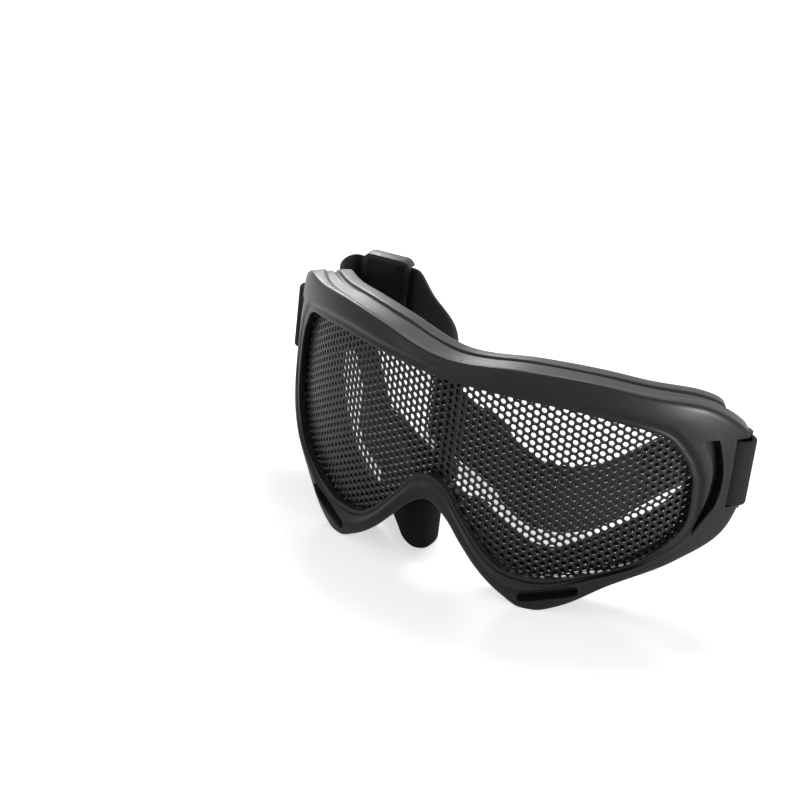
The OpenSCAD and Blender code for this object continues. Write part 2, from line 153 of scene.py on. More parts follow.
# Moulded finishes by name: the property with the colour, the colour of the painted edge highlight, roughness,
# share of painted edge highlight and of dust, scale of the grain, height of its bump in metres and specular
# level
MOULDED = {
    "rim_satin": ("rim", (0.09, 0.09, 0.094), 0.35, 0.5, 0.015, 2600.0, 0.00003, 0.3),
    "lens_coated": ("lens", (0.05, 0.05, 0.05), 0.38, 0.25, 0.015, 3600.0, 0.00002, 0.3),
    "post_matte": ("rim", (0.04, 0.04, 0.04), 0.6, 0.3, 0.02, 2400.0, 0.00004, 0.25),
    "slider_satin": ("slider", (0.12, 0.12, 0.124), 0.38, 0.6, 0.02, 2400.0, 0.00003, 0.25),
}

# Each lamp: its place, what it is turned to, its size in metres, and the studio setting with its power
LAMPS = {"lamp_overhead": ((-0.1, 0.35, 0.85), (0.0, 0.0, 0.05), 0.32, "key"),
         "lamp_back": ((-0.75, 0.85, 0.5), (0.0, -0.03, 0.06), 0.22, "back"),
         "lamp_side": ((0.9, -0.22, 0.07), (0.1, -0.05, 0.04), 0.2, "side"),
         "lamp_fill": ((-0.55, -0.85, 0.2), (-0.03, -0.05, 0.03), 0.3, "fill")}

# The camera of the photograph, in the drawing, with its azimuth, elevation and roll in degrees
CAMERA_AT = (282.13, -510.37, 331.0)
CAMERA_ANGLES = (30.117, 24.84, 6.677)


def length_property(name, description, default, least):
    """A property that holds a length in metres."""
    return bpy.props.FloatProperty(name=name, description=description, default=default, min=least,
                                   unit="LENGTH", subtype="DISTANCE")


def colour_property(name, description, default):
    """A property that holds a colour as linear values."""
    return bpy.props.FloatVectorProperty(name=name, description=description, default=default, min=0, max=1,
                                         size=3, subtype="COLOR")


def power_property(name, description, default):
    """A property that holds a lamp's power in watts."""
    return bpy.props.FloatProperty(name=name, description=description, default=default, min=0, unit="POWER")


class RimSizes(bpy.types.PropertyGroup):
    """Sizes of the rim."""
    lens_radius: length_property("Lens radius", "Radius that the lens and rim are bent to", 0.097, 0.08)
    depth: length_property("Depth", "Depth of the rim from its front to the face", 0.0165, 0.01)
    wall: length_property("Wall", "Thickness of the rim's wall", 0.002, 0.001)
    crown: length_property("Crown", "How far the domed front stands out past a flat one", 0.0012, 0.0)
    softness: bpy.props.FloatProperty(name="Softness", description="How round the moulded edges are",
                                      default=1.0, min=0.2, max=1.5, subtype="FACTOR")


class LensSizes(bpy.types.PropertyGroup):
    """Sizes of the perforated lens."""
    pitch: length_property("Pitch", "Distance between neighbouring holes", 0.00254, 0.0015)
    hole: length_property("Hole", "Diameter of a hole", 0.00185, 0.0005)
    sheet: length_property("Sheet", "Thickness of the steel sheet", 0.0008, 0.0003)


class WebbingSizes(bpy.types.PropertyGroup):
    """Sizes of the head strap."""
    width: length_property("Width", "Width of the webbing between the end pieces", 0.025, 0.01)
    thickness: length_property("Thickness", "Thickness of the head strap", 0.0016, 0.0005)
    pick: length_property("Pick", "Spacing of the threads across the webbing", 0.0011, 0.0003)
    cord: length_property("Cord", "Spacing of the cords along the webbing", 0.0013, 0.0003)


class Finishes(bpy.types.PropertyGroup):
    """Colours of the goggles, as linear values."""
    rim: colour_property("Rim", "Colour of the soft rim", (0.005, 0.005, 0.0054))
    lens: colour_property("Lens", "Colour of the coated steel", (0.0085, 0.0085, 0.009))
    webbing: colour_property("Webbing", "Colour of the webbing", (0.021, 0.0205, 0.0215))
    thread: colour_property("Thread", "Colour of the stitching", (0.018, 0.018, 0.019))
    slider: colour_property("Slider", "Colour of the slider", (0.014, 0.014, 0.0148))
    floor: colour_property("Floor", "Colour of the floor", (0.82, 0.82, 0.82))


class StudioSettings(bpy.types.PropertyGroup):
    """Lamps and camera."""
    key: power_property("Key", "Power of the large lamp overhead", 4.0)
    back: power_property("Back", "Power of the lamp behind, at the left", 4.5)
    side: power_property("Side", "Power of the lamp at the right", 7.0)
    fill: power_property("Fill", "Power of the lamp at the left", 0.5)
    lens: bpy.props.FloatProperty(name="Camera lens", description="Focal length in millimetres",
                                  default=93.83, min=10)


# Curves and meshes

def smooth_ring(points, steps):
    """Closed smooth curve: between two points lies the cubic that leaves each point along the line
    between its two neighbours, taken at `steps` equal shares of the stretch."""
    p = np.asarray(points, float)
    a, b, c, d = (np.roll(p, k, axis=0)[:, None] for k in (1, 0, -1, -2))
    t = (np.arange(steps) / steps)[None, :, None]
    return cubic(a, b, c, d, t).reshape(-1, p.shape[1])


def smooth_run(points, steps):
    """Open smooth curve by the same cubic; the first and the last point only steer it."""
    p = np.asarray(points, float)
    t = (np.arange(steps) / steps)[None, :, None]
    run = cubic(p[:-3, None], p[1:-2, None], p[2:-1, None], p[3:, None], t).reshape(-1, p.shape[1])
    return np.vstack([run, p[-2]])


def cubic(a, b, c, d, t):
    """The cubic from b at t = 0 to c at t = 1 whose slopes are (c - a) / 2 and (d - b) / 2."""
    return (2 * b + (c - a) * t + (2 * a - 5 * b + 4 * c - d) * t ** 2 + (3 * b - a - 3 * c + d) * t ** 3) / 2


def mirrored(points):
    """The right half of a closed outline, followed by its mirror image in s, without its two end points."""
    p = np.asarray(points, float)
    return np.vstack([p, p[-2:0:-1] * [-1, 1]])


def towards(p, q, distance):
    """The point at that distance from p on the line to q, for each pair of points."""
    v = q - p
    return p + v * np.asarray(distance)[..., None] / np.linalg.norm(v, axis=-1, keepdims=True)


def ease(t):
    """Smooth step: 3 t squared - 2 t cubed, with t held between 0 and 1."""
    u = np.clip(t, 0, 1)
    return u * u * (3 - 2 * u)


def around(angle):
    """The points of the unit circle at these angles."""
    return np.column_stack([np.cos(angle), np.sin(angle)])


def rolled(s, z, d, radius):
    """Rolls a point of the drawing round the lens cylinder: it stands at angle s / radius, and its depth
    d runs back along half of that angle, so that the wall turns in towards the head."""
    a = s / radius
    b = a / 2
    return np.stack([radius * np.sin(a) - d * np.sin(b), radius * (1 - np.cos(a)) + d * np.cos(b),
                     z + 0 * a], axis=-1)


def rounded(corners, trims, arc_points):
    """Rounds each corner of closed sections: a corner gives way to the quadratic curve that starts and ends
    at its trim's distance from it, or at 0.46 of the way to its neighbour, and bends towards the corner."""
    before = np.roll(corners, 1, axis=1)
    after = np.roll(corners, -1, axis=1)
    t = np.linspace(0, 1, arc_points)[:, None]

    def end(other):
        v = other - corners
        length = np.linalg.norm(v, axis=-1, keepdims=True)
        return corners + v * np.minimum(trims[None, :, None] / np.maximum(length, 1e-9), 0.46)

    start, stop, mid = end(before)[:, :, None], end(after)[:, :, None], corners[:, :, None]
    curve = (1 - t) ** 2 * start + 2 * t * (1 - t) * mid + t ** 2 * stop
    return curve.reshape(len(corners), -1, corners.shape[-1])


def grid_quads(rows, cols, close_rows=False, close_cols=False):
    """The quads of a grid of points numbered row by row, each way closed on itself or left open."""
    r = np.arange(rows if close_rows else rows - 1)[:, None]
    c = np.arange(cols if close_cols else cols - 1)[None, :]
    r2, c2 = (r + 1) % rows, (c + 1) % cols
    return np.stack([r * cols + c, r * cols + c2, r2 * cols + c2, r2 * cols + c], axis=-1).reshape(-1, 4)


def enclosed(points, faces):
    """Signed volume inside the faces: the sum of the tetrahedra from the origin to each fan triangle."""
    total = 0.0
    for size in {len(f) for f in faces}:
        f = np.array([g for g in faces if len(g) == size])
        for k in range(1, size - 1):
            a, b, c = points[f[:, 0]], points[f[:, k]], points[f[:, k + 1]]
            total += np.einsum("ij,ij->", a, np.cross(b, c)) / 6
    return total


def loft(rings):
    """Points and faces of a solid through rings of points: bands between neighbours and a cap at each end."""
    n = rings.shape[1]
    points = rings.reshape(-1, 3)
    faces = [tuple(q) for q in grid_quads(len(rings), n, close_cols=True)]
    return points, faces + [tuple(range(n)), tuple(range(len(points) - 1, len(points) - n - 1, -1))]


def upright(flat, z):
    """Rings in plan, (x, y) by row, given a height each: one for each of z where there is a single ring."""
    z = np.asarray(z)[:, None, None]
    flat = np.broadcast_to(flat, (len(z), *flat.shape[-2:]))
    return np.concatenate([flat, np.broadcast_to(z, (*flat.shape[:2], 1))], axis=-1)


def linked(name, data):
    """A new object with that data, in the scene."""
    made = bpy.data.objects.new(name, data)
    bpy.context.scene.collection.objects.link(made)
    return made


def values_of(items, name, width, kind):
    """One value of each item, as the rows of an array."""
    values = np.empty(len(items) * width, kind)
    items.foreach_get(name, values)
    return values.reshape(-1, width)


def new_piece(name, points, faces, uv=None, angle=40):
    """A closed mesh from points of the drawing, in millimetres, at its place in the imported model, with its
    faces turned outwards, smooth but for edges sharper than the angle."""
    faces = [tuple(f) for f in faces]
    if enclosed(points - points.mean(axis=0), faces) < 0:
        faces = [f[::-1] for f in faces]
    mesh = bpy.data.meshes.new(name)
    mesh.from_pydata(((points + PLACE) * MM).tolist(), [], faces)
    if uv is not None:
        corner = values_of(mesh.loops, "vertex_index", 1, np.int32).ravel()
        mesh.uv_layers.new(name="weave").data.foreach_set("uv", uv[corner].astype(np.float32).ravel())
    mesh.validate()
    piece = linked(name, mesh)
    finish_surface(piece, angle)
    return piece


def finish_surface(piece, angle):
    """Smooth shading with sharp edges past the angle, and the edge attribute: how far a point stands out
    past the mean of its neighbours along its normal, over its mean distance from them."""
    mesh = piece.data
    mesh.shade_smooth()
    mesh.set_sharp_from_angle(angle=math.radians(angle))
    count = len(mesh.vertices)
    co, normal = (values_of(mesh.vertices, name, 3, float) for name in ("co", "normal"))
    a, b = values_of(mesh.edges, "vertices", 2, np.int32).T
    step = co[b] - co[a]
    length = np.linalg.norm(step, axis=1)
    near = np.bincount(a, minlength=count) + np.bincount(b, minlength=count)
    out = -np.bincount(a, np.einsum("ij,ij->i", step, normal[a]), count)
    out += np.bincount(b, np.einsum("ij,ij->i", step, normal[b]), count)
    total = np.bincount(a, length, count) + np.bincount(b, length, count)
    # This edge attribute masks the painted highlight on convex edges in the moulded finishes.
    edge = np.clip(out / np.maximum(total, 1e-9) * np.where(near > 0, 2.2, 0), 0, 1)
    attribute = mesh.attributes.get("edge") or mesh.attributes.new("edge", "FLOAT", "POINT")
    attribute.data.foreach_set("value", edge.astype(np.float32))


def dress(piece, finish, body, slot, *nodes):
    """Gives a finished piece its material and its body, and hides the CAD nodes that it stands for; the slot
    is not used.
    """
    piece.data.materials.clear()
    piece.data.materials.append(material_for(finish))
    if body:
        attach(piece, body)
    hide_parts(*nodes)


def run_modifier(piece, kind, **values):
    """Adds a modifier with these values and applies it to the piece's mesh at once."""
    modifier = piece.modifiers.new(kind.lower(), kind)
    for key, value in values.items():
        setattr(modifier, key, value)
    graph = bpy.context.evaluated_depsgraph_get()
    made = bpy.data.meshes.new_from_object(piece.evaluated_get(graph))
    piece.modifiers.clear()
    old, piece.data = piece.data, made
    made.name = piece.name
    bpy.data.meshes.remove(old)


def join_slivers(piece, width):
    """Merges the points nearer than the width, which cuts leave, and splits the larger faces in triangles."""
    work = bmesh.new()
    work.from_mesh(piece.data)
    bmesh.ops.remove_doubles(work, verts=work.verts, dist=width)
    bmesh.ops.dissolve_degenerate(work, edges=work.edges, dist=width / 3)
    bmesh.ops.triangulate(work, faces=[f for f in work.faces if len(f.verts) > 4])
    work.to_mesh(piece.data)
    work.free()


# Shader groups and materials

def new_group(name, inputs, outputs):
    """An empty shader group with named sockets, given as (name, kind, default) and (name, kind): the group,
    the sockets that hold what it is given, and its output node."""
    group = bpy.data.node_groups.new(name, "ShaderNodeTree")
    for socket, kind, default in inputs:
        made = group.interface.new_socket(socket, in_out="INPUT", socket_type="NodeSocket" + kind)
        made.default_value = default
    for socket, kind in outputs:
        group.interface.new_socket(socket, in_out="OUTPUT", socket_type="NodeSocket" + kind)
    return group, group.nodes.new("NodeGroupInput").outputs, group.nodes.new("NodeGroupOutput")


def feed(tree, socket, value):
    """Links an input to the socket that is given as its value, or sets it to a plain value."""
    if isinstance(value, bpy.types.NodeSocket):
        tree.links.new(value, socket)
    else:
        socket.default_value = value


def feed_all(tree, node, **values):
    """Feeds a node's inputs by name, with _ for a blank."""
    for key, value in values.items():
        feed(tree, node.inputs[key.replace("_", " ")], value)


def add(tree, kind, **values):
    """A node of that kind in the tree; a value called in_ and a name or number feeds that input."""
    node = tree.nodes.new("ShaderNode" + kind)
    for key, value in values.items():
        if not key.startswith("in_"):
            setattr(node, key, value)
    for key, value in values.items():
        if key.startswith("in_"):
            feed(tree, node.inputs[int(key[3:]) if key[3:].isdigit() else key[3:].replace("_", " ")], value)
    return node


def maths(tree, operation, a, b=0.0, c=0.0, clamp=False):
    """One Math node's result."""
    return add(tree, "Math", operation=operation, use_clamp=clamp, in_0=a, in_1=b, in_2=c).outputs[0]


def noise(tree, scale, detail, **values):
    """A noise's value on object coordinates."""
    place = add(tree, "TexCoord").outputs["Object"]
    return add(tree, "TexNoise", in_Vector=place, in_Scale=scale, in_Detail=detail, **values).outputs[0]


def blended(tree, share, a, b):
    """Two colours mixed by a share."""
    return add(tree, "Mix", data_type="RGBA", in_0=share, in_6=a, in_7=b).outputs[2]


def grain_group():
    """Moulded surface: cloudy tone over a few millimetres and a fine spark-eroded grain."""
    group, given, out = new_group("moulded_grain", [
        ("Colour", "Color", (0.02, 0.02, 0.02, 1)), ("Tone", "Float", 0.25), ("Grain size", "Float", 2200.0),
        ("Roughness", "Float", 0.45), ("Spread", "Float", 0.08)],
        [("Colour", "Color"), ("Roughness", "Float"), ("Height", "Float")])
    cloud = noise(group, 55.0, 3.0, in_Roughness=0.6)
    fine = noise(group, given["Grain size"], 2.0)
    smear = noise(group, 210.0, 4.0, in_Distortion=0.6)
    lift = maths(group, "MULTIPLY", maths(group, "SUBTRACT", cloud, 0.5), given["Tone"])
    tone = maths(group, "MULTIPLY_ADD", lift, 2.0, 1.0)
    colour = add(group, "VectorMath", operation="SCALE", in_0=given["Colour"], in_Scale=tone)
    rough = maths(group, "MULTIPLY_ADD", maths(group, "SUBTRACT", smear, 0.5), given["Spread"],
                  given["Roughness"])
    feed_all(group, out, Colour=colour.outputs[0], Roughness=rough, Height=fine)
    return group


def edge_highlight_group():
    """Painted highlight on convex edges: where the edge attribute is high and a broken noise agrees, the
    colour turns paler and the surface a little smoother."""
    group, given, out = new_group("rubbed_edges", [
        ("Colour", "Color", (0.02, 0.02, 0.02, 1)), ("Rubbed", "Color", (0.1, 0.1, 0.1, 1)),
        ("Amount", "Float", 0.5), ("Roughness", "Float", 0.45)],
        [("Colour", "Color"), ("Roughness", "Float")])
    edge = add(group, "Attribute", attribute_name="edge").outputs["Fac"]
    broken = noise(group, 320.0, 4.0)
    mask = maths(group, "MULTIPLY", edge, maths(group, "MULTIPLY_ADD", broken, 1.6, -0.3, clamp=True))
    share = maths(group, "MULTIPLY", mask, given["Amount"], clamp=True)
    feed_all(group, out, Colour=blended(group, share, given["Colour"], given["Rubbed"]),
             Roughness=maths(group, "MULTIPLY_ADD", share, -0.12, given["Roughness"]))
    return group


def dust_group():
    """Dust: small pale specks and a faint film, thicker on faces that look up."""
    group, given, out = new_group("light_dust", [
        ("Colour", "Color", (0.02, 0.02, 0.02, 1)), ("Dust", "Color", (0.3, 0.29, 0.28, 1)),
        ("Amount", "Float", 0.04), ("Roughness", "Float", 0.45)],
        [("Colour", "Color"), ("Roughness", "Float")])
    place = add(group, "TexCoord").outputs["Object"]
    up = add(group, "SeparateXYZ", in_Vector=add(group, "NewGeometry").outputs["Normal"]).outputs["Z"]
    film = maths(group, "MULTIPLY_ADD", up, 0.5, 0.5, clamp=True)
    patch = noise(group, 130.0, 5.0)
    specks = add(group, "TexVoronoi", in_Vector=place, in_Scale=900.0).outputs["Distance"]
    dots = maths(group, "LESS_THAN", specks, 0.09)
    share = maths(group, "MULTIPLY", maths(group, "MULTIPLY_ADD", dots, 2.0, patch),
                  maths(group, "MULTIPLY", film, given["Amount"]), clamp=True)
    feed_all(group, out, Colour=blended(group, share, given["Colour"], given["Dust"]),
             Roughness=maths(group, "MULTIPLY_ADD", share, 0.5, given["Roughness"]))
    return group


def weave_group():
    """Plain weave from the piece's own UV map, in metres: each cord along the webbing bulges between the
    threads that cross it, every other one half a thread further on."""
    group, given, out = new_group("plain_weave", [("Pick", "Float", 0.0011), ("Cord", "Float", 0.0013)],
                                  [("Height", "Float"), ("Gap", "Float")])
    uv = add(group, "SeparateXYZ", in_Vector=add(group, "UVMap", uv_map="weave").outputs[0])
    along = maths(group, "DIVIDE", uv.outputs["X"], given["Pick"])
    across = maths(group, "DIVIDE", uv.outputs["Y"], given["Cord"])
    odd = maths(group, "MULTIPLY", maths(group, "MODULO", maths(group, "FLOOR", across), 2.0), 0.5)
    shifted = maths(group, "ADD", along, odd)
    bulge = maths(group, "ABSOLUTE", maths(group, "SINE", maths(group, "MULTIPLY", shifted, math.pi)))
    cord = maths(group, "ABSOLUTE", maths(group, "SINE", maths(group, "MULTIPLY", across, math.pi)))
    height = maths(group, "POWER", maths(group, "MULTIPLY", bulge, cord), 0.5)
    feed_all(group, out, Height=maths(group, "MULTIPLY_ADD", noise(group, 5200.0, 2.0), 0.35, height),
             Gap=maths(group, "SUBTRACT", 1.0, height, clamp=True))
    return group


def placed_group(tree, name, make, **values):
    """The outputs of the shader group of that name, made once, in the tree with its inputs fed by name."""
    node = add(tree, "Group", node_tree=bpy.data.node_groups.get(name) or make())
    feed_all(tree, node, **values)
    return node.outputs


def new_material(name):
    """A material with its Principled shader, and that shader."""
    material = bpy.data.materials.new(name)
    material.use_nodes = True
    return material, material.node_tree, material.node_tree.nodes["Principled BSDF"]


def opaque(colour):
    """A colour of a property as four values."""
    return (*colour, 1.0)


def moulded_material(name, colour, highlight_colour, roughness, highlight_share, dust, grain, bump, specular):
    """A moulded or coated finish: grain, then a painted highlight on convex edges, then dust, with the grain
    as a fine bump.
    """
    material, tree, shader = new_material(name)
    base = placed_group(tree, "moulded_grain", grain_group, Colour=opaque(colour), Grain_size=grain,
                        Roughness=roughness)
    # Painted highlight: convex edges are made paler, standing in for light caught on them.
    highlighted = placed_group(tree, "rubbed_edges", edge_highlight_group, Colour=base["Colour"], Rubbed=opaque(highlight_colour),
                        Amount=highlight_share, Roughness=base["Roughness"])
    dusty = placed_group(tree, "light_dust", dust_group, Colour=highlighted["Colour"], Amount=dust,
                         Roughness=highlighted["Roughness"])
    relief = add(tree, "Bump", in_Strength=0.35, in_Distance=bump, in_Height=base["Height"])
    feed_all(tree, shader, Base_Color=dusty["Colour"], Roughness=dusty["Roughness"],
             Normal=relief.outputs[0], Specular_IOR_Level=specular)
    return material


def fabric_material(name, colour, pale, pick, cord):
    """Woven elastic or thread: painted shade darkens the weave's gaps and a bump lifts its threads, with a
    soft sheen.
    """
    material, tree, shader = new_material(name)
    weave = placed_group(tree, "plain_weave", weave_group, Pick=pick, Cord=cord)
    fade = maths(tree, "MULTIPLY", noise(tree, 60.0, 4.0), 0.5)
    # Painted shade: the gaps between the threads are darkened towards 35 % of the colour.
    gap = maths(tree, "MULTIPLY", weave["Gap"], 0.5)
    shaded = blended(tree, gap, blended(tree, fade, opaque(colour), opaque(pale)),
                     opaque([c * 0.35 for c in colour]))
    dusty = placed_group(tree, "light_dust", dust_group, Colour=shaded, Amount=0.02, Roughness=0.9)
    relief = add(tree, "Bump", in_Strength=0.45, in_Distance=0.00025, in_Height=weave["Height"])
    feed_all(tree, shader, Base_Color=dusty["Colour"], Roughness=dusty["Roughness"],
             Normal=relief.outputs[0], Specular_IOR_Level=0.12, Sheen_Weight=0.03, Sheen_Roughness=0.5)
    return material


def material_for(name):
    """The material of that name, made once from the finishes of the scene."""
    if name in bpy.data.materials:
        return bpy.data.materials[name]
    look, web = bpy.context.scene.goggles_finishes, bpy.context.scene.goggles_webbing
    if name in MOULDED:
        finish, *values = MOULDED[name]
        return moulded_material(name, getattr(look, finish), *values)
    if name == "thread_twisted":
        return fabric_material(name, look.thread, (0.035, 0.035, 0.037), 0.0005, 0.0005)
    return fabric_material(name, look.webbing, (0.033, 0.0325, 0.0345), web.pick, web.cord)


# Rim

def outlines(steps):
    """Smooth outlines of the opening, the plate, the wall and the flange, stretched to the rim's height."""
    return [smooth_ring(mirrored(p) * [1, RISE], steps) for p in (OPENING, PLATE, WALL, FLANGE)]


def edge_thickness(plate):
    """Thickness of the plate's edge: 3.3 mm over the brow, easing to 5 mm in the wings and 8 mm at the
    shoulders."""
    s, z = np.abs(plate[:, 0]), plate[:, 1] / RISE
    shoulder = ease((s - 40) / 50) * ease((z - 52) / 14)
    return 3.3 + 1.7 * ease((s - 70) / 25) + 3.0 * shoulder


def rim_sections(size, steps):
    """One closed section of the rim at each station, as (s, z, d): the lip and its bead round the opening, a
    hollow and a ridge over the cheeks, domed front, plate edge, stepped wall with its groove, flange on the
    face, inner wall, ledge and the lens groove. The hollow's share is 1 on the cheeks and eases to 0 on the
    nose and up the temples. Each row holds a corner's (s, z), its depth and how far it is rounded off."""
    a, b, c, f = outlines(steps)
    front = -size.crown / MM
    back = front + edge_thickness(b) - 0.4
    nose = np.exp(-(c[:, 0] / NOSE_BREADTH) ** 2) * (c[:, 1] < NOSE_TOP)
    rear = size.depth / MM - NOSE_CUT * nose
    band = 0.58 * rear
    breadth = np.linalg.norm(b - a, axis=1)
    side = np.abs(b[:, 0])
    hollow = ease((side - 22) / 12) * ease((92 - side) / 20) * ease((36 - b[:, 1]) / 14)
    ridge = np.minimum(4.4, 0.55 * breadth)
    inner = towards(c, a, size.wall / MM)
    ledge, seat = towards(a, c, 1.0), towards(a, c, GROOVE_REACH)
    groove = towards(c, a, 0.9)
    ahead, behind = GROOVE
    rows = [(a, 0.7, 0.3), (towards(a, b, 0.3), -0.6, 0.3), (towards(a, b, 1.2), -0.8, 0.4),
            (towards(a, b, 0.6 * ridge), front + 0.7 + 1.1 * hollow, 1.0),
            (towards(a, b, ridge), front - 0.3, 0.9), (towards(b, a, 0.4 * breadth), front - 0.1, 2.5),
            (towards(b, a, 1.6), front + 0.5, 1.0), (towards(b, a, 0.3), front + 1.0, 0.7),
            (b, front + 1.9, 0.7), (towards(b, a, 0.2), back, 0.6), (c, back + 0.7, 0.5),
            (c, band - 0.8, 0.8), (groove, band - 0.1, 0.35), (groove, band + 0.7, 0.35),
            (c, band + 1.4, 0.6), (towards(c, a, 0.5), rear - 0.8, 0.8), (towards(c, a, 1.0), rear, 0.5),
            (f, rear, 0.5), (f, rear - 1.2, 0.5), (inner, rear - 2.4, 1.2), (inner, behind + 2.2, 0.6),
            (ledge, behind + 1.4, 0.4), (ledge, behind, 0.3), (seat, behind, 0.1), (seat, ahead, 0.1),
            (a, ahead, 0.35)]
    section = np.stack([np.column_stack([p, np.broadcast_to(d, len(a))]) for p, d, _ in rows], axis=1)
    return rounded(section, np.array([trim for *_, trim in rows]) * size.softness, 5)


def prism(outline, layers, radius, s0):
    """A closed cutter: the anticlockwise outline, as (s, z), at each (offset, depth) of the layers, moved
    outwards from its middle line by the offset, stood up square to the lens cylinder at s0."""
    step = np.roll(outline, -1, axis=0) - np.roll(outline, 1, axis=0)
    normal = np.column_stack([step[:, 1], -step[:, 0]]) / np.linalg.norm(step, axis=1, keepdims=True)
    angle = s0 / radius
    origin = np.array([radius * math.sin(angle), radius * (1 - math.cos(angle))])
    along, back = np.array([math.cos(angle), math.sin(angle)]), np.array([-math.sin(angle), math.cos(angle)])
    rings = []
    for offset, depth in layers:
        flat = outline + normal * offset
        xy = origin + (flat[:, :1] - s0) * along + depth * back
        rings.append(np.column_stack([xy, flat[:, 1]]))
    return loft(np.array(rings))


def crescent_outline():
    """The temple slot: its inner side is the smooth curve through the drawn corners, and its outer side the
    same curve a slot's width further out and a little lower, 4.8 mm out at the top."""
    inner = np.array(CRESCENT) * [1, RISE]
    shift = np.tile([CRESCENT_WIDTH, -0.6], (len(inner) - 1, 1))
    shift[0] = [4.8, -0.2]
    outer = (inner[:-1] + shift)[::-1]
    return np.vstack([smooth_run([2 * p[0] - p[1], *p, 2 * p[-1] - p[-2]], 5) for p in (inner, outer)])


def recess_outline():
    """The cheek recess: a straight slot with a half circle at each end."""
    a, b = np.array(RECESS) * [1, RISE]
    turn = math.atan2(b[1] - a[1], b[0] - a[0])
    half = RECESS_HALF * around(np.linspace(-math.pi / 2, math.pi / 2, 13) + turn)
    return np.vstack([b + half, a - half])


def bar_place(radius):
    """The bar's axis seen from above, and its angle round the lens cylinder."""
    angle = BAR_S / radius
    reach = radius - BAR_DEPTH
    return np.array([reach * math.sin(angle), radius - reach * math.cos(angle)]), angle


def at_bar(flat, radius):
    """Points of a plan round the bar, as (x, y) with x outwards along the wing, at their place."""
    at, angle = bar_place(radius)
    return flat @ np.array([[math.cos(angle), math.sin(angle)], [-math.sin(angle), math.cos(angle)]]) + at


def notch(radius):
    """Room for the end loop: a half round about the bar, 0.5 mm past the loop, open at the wing's end."""
    r = loop_reach() + 0.5
    flat = np.vstack([r * around(np.linspace(math.pi / 2, 3 * math.pi / 2, 25)), [[2 * r, -r], [2 * r, r]]])
    return loft(upright(at_bar(flat, radius), [LOOP_Z - 0.8, LOOP_Z + LOOP_WIDTH + 0.8]))


def loop_reach():
    """Outer radius of the webbing round the bar: half the bar's diagonal, the gap and the webbing."""
    return math.hypot(*BAR_HALF) + BAR_GAP + WEB


def bar_shape(radius, side):
    """The bar in the notch: a rounded rectangle that stands from below the notch to above it and widens
    where it runs into the wing."""
    ring = around(np.linspace(0, 2 * math.pi, 33)[:-1])
    ring = BAR_HALF * np.sign(ring) * np.abs(ring) ** 0.45
    rise, grow = np.array([[0, 1.5, 1.9, 2.6], [1.25, 1.25, 1.1, 1.0]])
    z = np.concatenate([LOOP_Z - 2.3 + rise, (LOOP_Z + LOOP_WIDTH + 2.3 - rise)[::-1]])
    grow = np.concatenate([grow, grow[::-1]])[:, None, None]
    points, faces = loft(upright(at_bar(ring * grow, radius), z))
    return points * [side, 1, 1], faces


class GOGGLES_OT_rim(bpy.types.Operator):
    """Mould the rim: crowned front, brow bands, wings with crescent slots, cheek recesses and strap bars"""
    bl_idname = "goggles.rim"
    bl_label = "Rim"

    def execute(self, context):
        size = context.scene.goggles_rim
        radius = size.lens_radius / MM
        section = rim_sections(size, 10)
        stations, ring = section.shape[:2]
        points = rolled(section[..., 0], section[..., 1], section[..., 2], radius).reshape(-1, 3)
        points[:, 2] = np.maximum(points[:, 2], 0)
        rim = new_piece("goggle_rim", points, grid_quads(stations, ring, True, True))
        shapes = (prism(crescent_outline(), SLOT_LAYERS, radius, CRESCENT[2][0]),
                  prism(recess_outline(), RECESS_LAYERS, radius, (RECESS[0][0] + RECESS[1][0]) / 2),
                  notch(radius))
        for side in (1, -1):
            for cut_points, cut_faces in shapes:
                cutter = new_piece("cutter", cut_points * [side, 1, 1], cut_faces)
                run_modifier(rim, "BOOLEAN", operation="DIFFERENCE", solver="EXACT", object=cutter)
                bpy.data.objects.remove(cutter)
        join_slivers(rim, 0.00003)
        for side, name in ((1, "right"), (-1, "left")):
            bar = new_piece("strap_bar_" + name, *bar_shape(radius, side))
            dress(bar, "rim_satin", "goggles", "rim", "frame_shell")
        finish_surface(rim, 38)
        dress(rim, "rim_satin", "goggles", "rim", "frame_shell")
        return {"FINISHED"}


# Lens

def nearest(curve, points):
    """For each point, the nearest point on a closed curve, whether the point lies inside it, and its gap."""
    if len(points) > 4000:
        found = [nearest(curve, block) for block in np.array_split(points, len(points) // 4000 + 1)]
        return [np.concatenate(part) for part in zip(*found)]
    a, b = curve, np.roll(curve, -1, axis=0)
    span = b - a
    t = np.einsum("pij,ij->pi", points[:, None] - a, span) / np.einsum("ij,ij->i", span, span)
    foot = a + np.clip(t, 0, 1)[..., None] * span
    gap = np.linalg.norm(foot - points[:, None], axis=-1)
    best = gap.argmin(axis=1)
    with np.errstate(divide="ignore", invalid="ignore"):
        cross = (a[:, 1] > points[:, None, 1]) != (b[:, 1] > points[:, None, 1])
        reach = (b[:, 0] - a[:, 0]) * (points[:, None, 1] - a[:, 1]) / (b[:, 1] - a[:, 1]) + a[:, 0]
    inside = (cross & (points[:, None, 0] < reach)).sum(axis=1) % 2 == 1
    rows = np.arange(len(points))
    return foot[rows, best], inside, gap[rows, best]


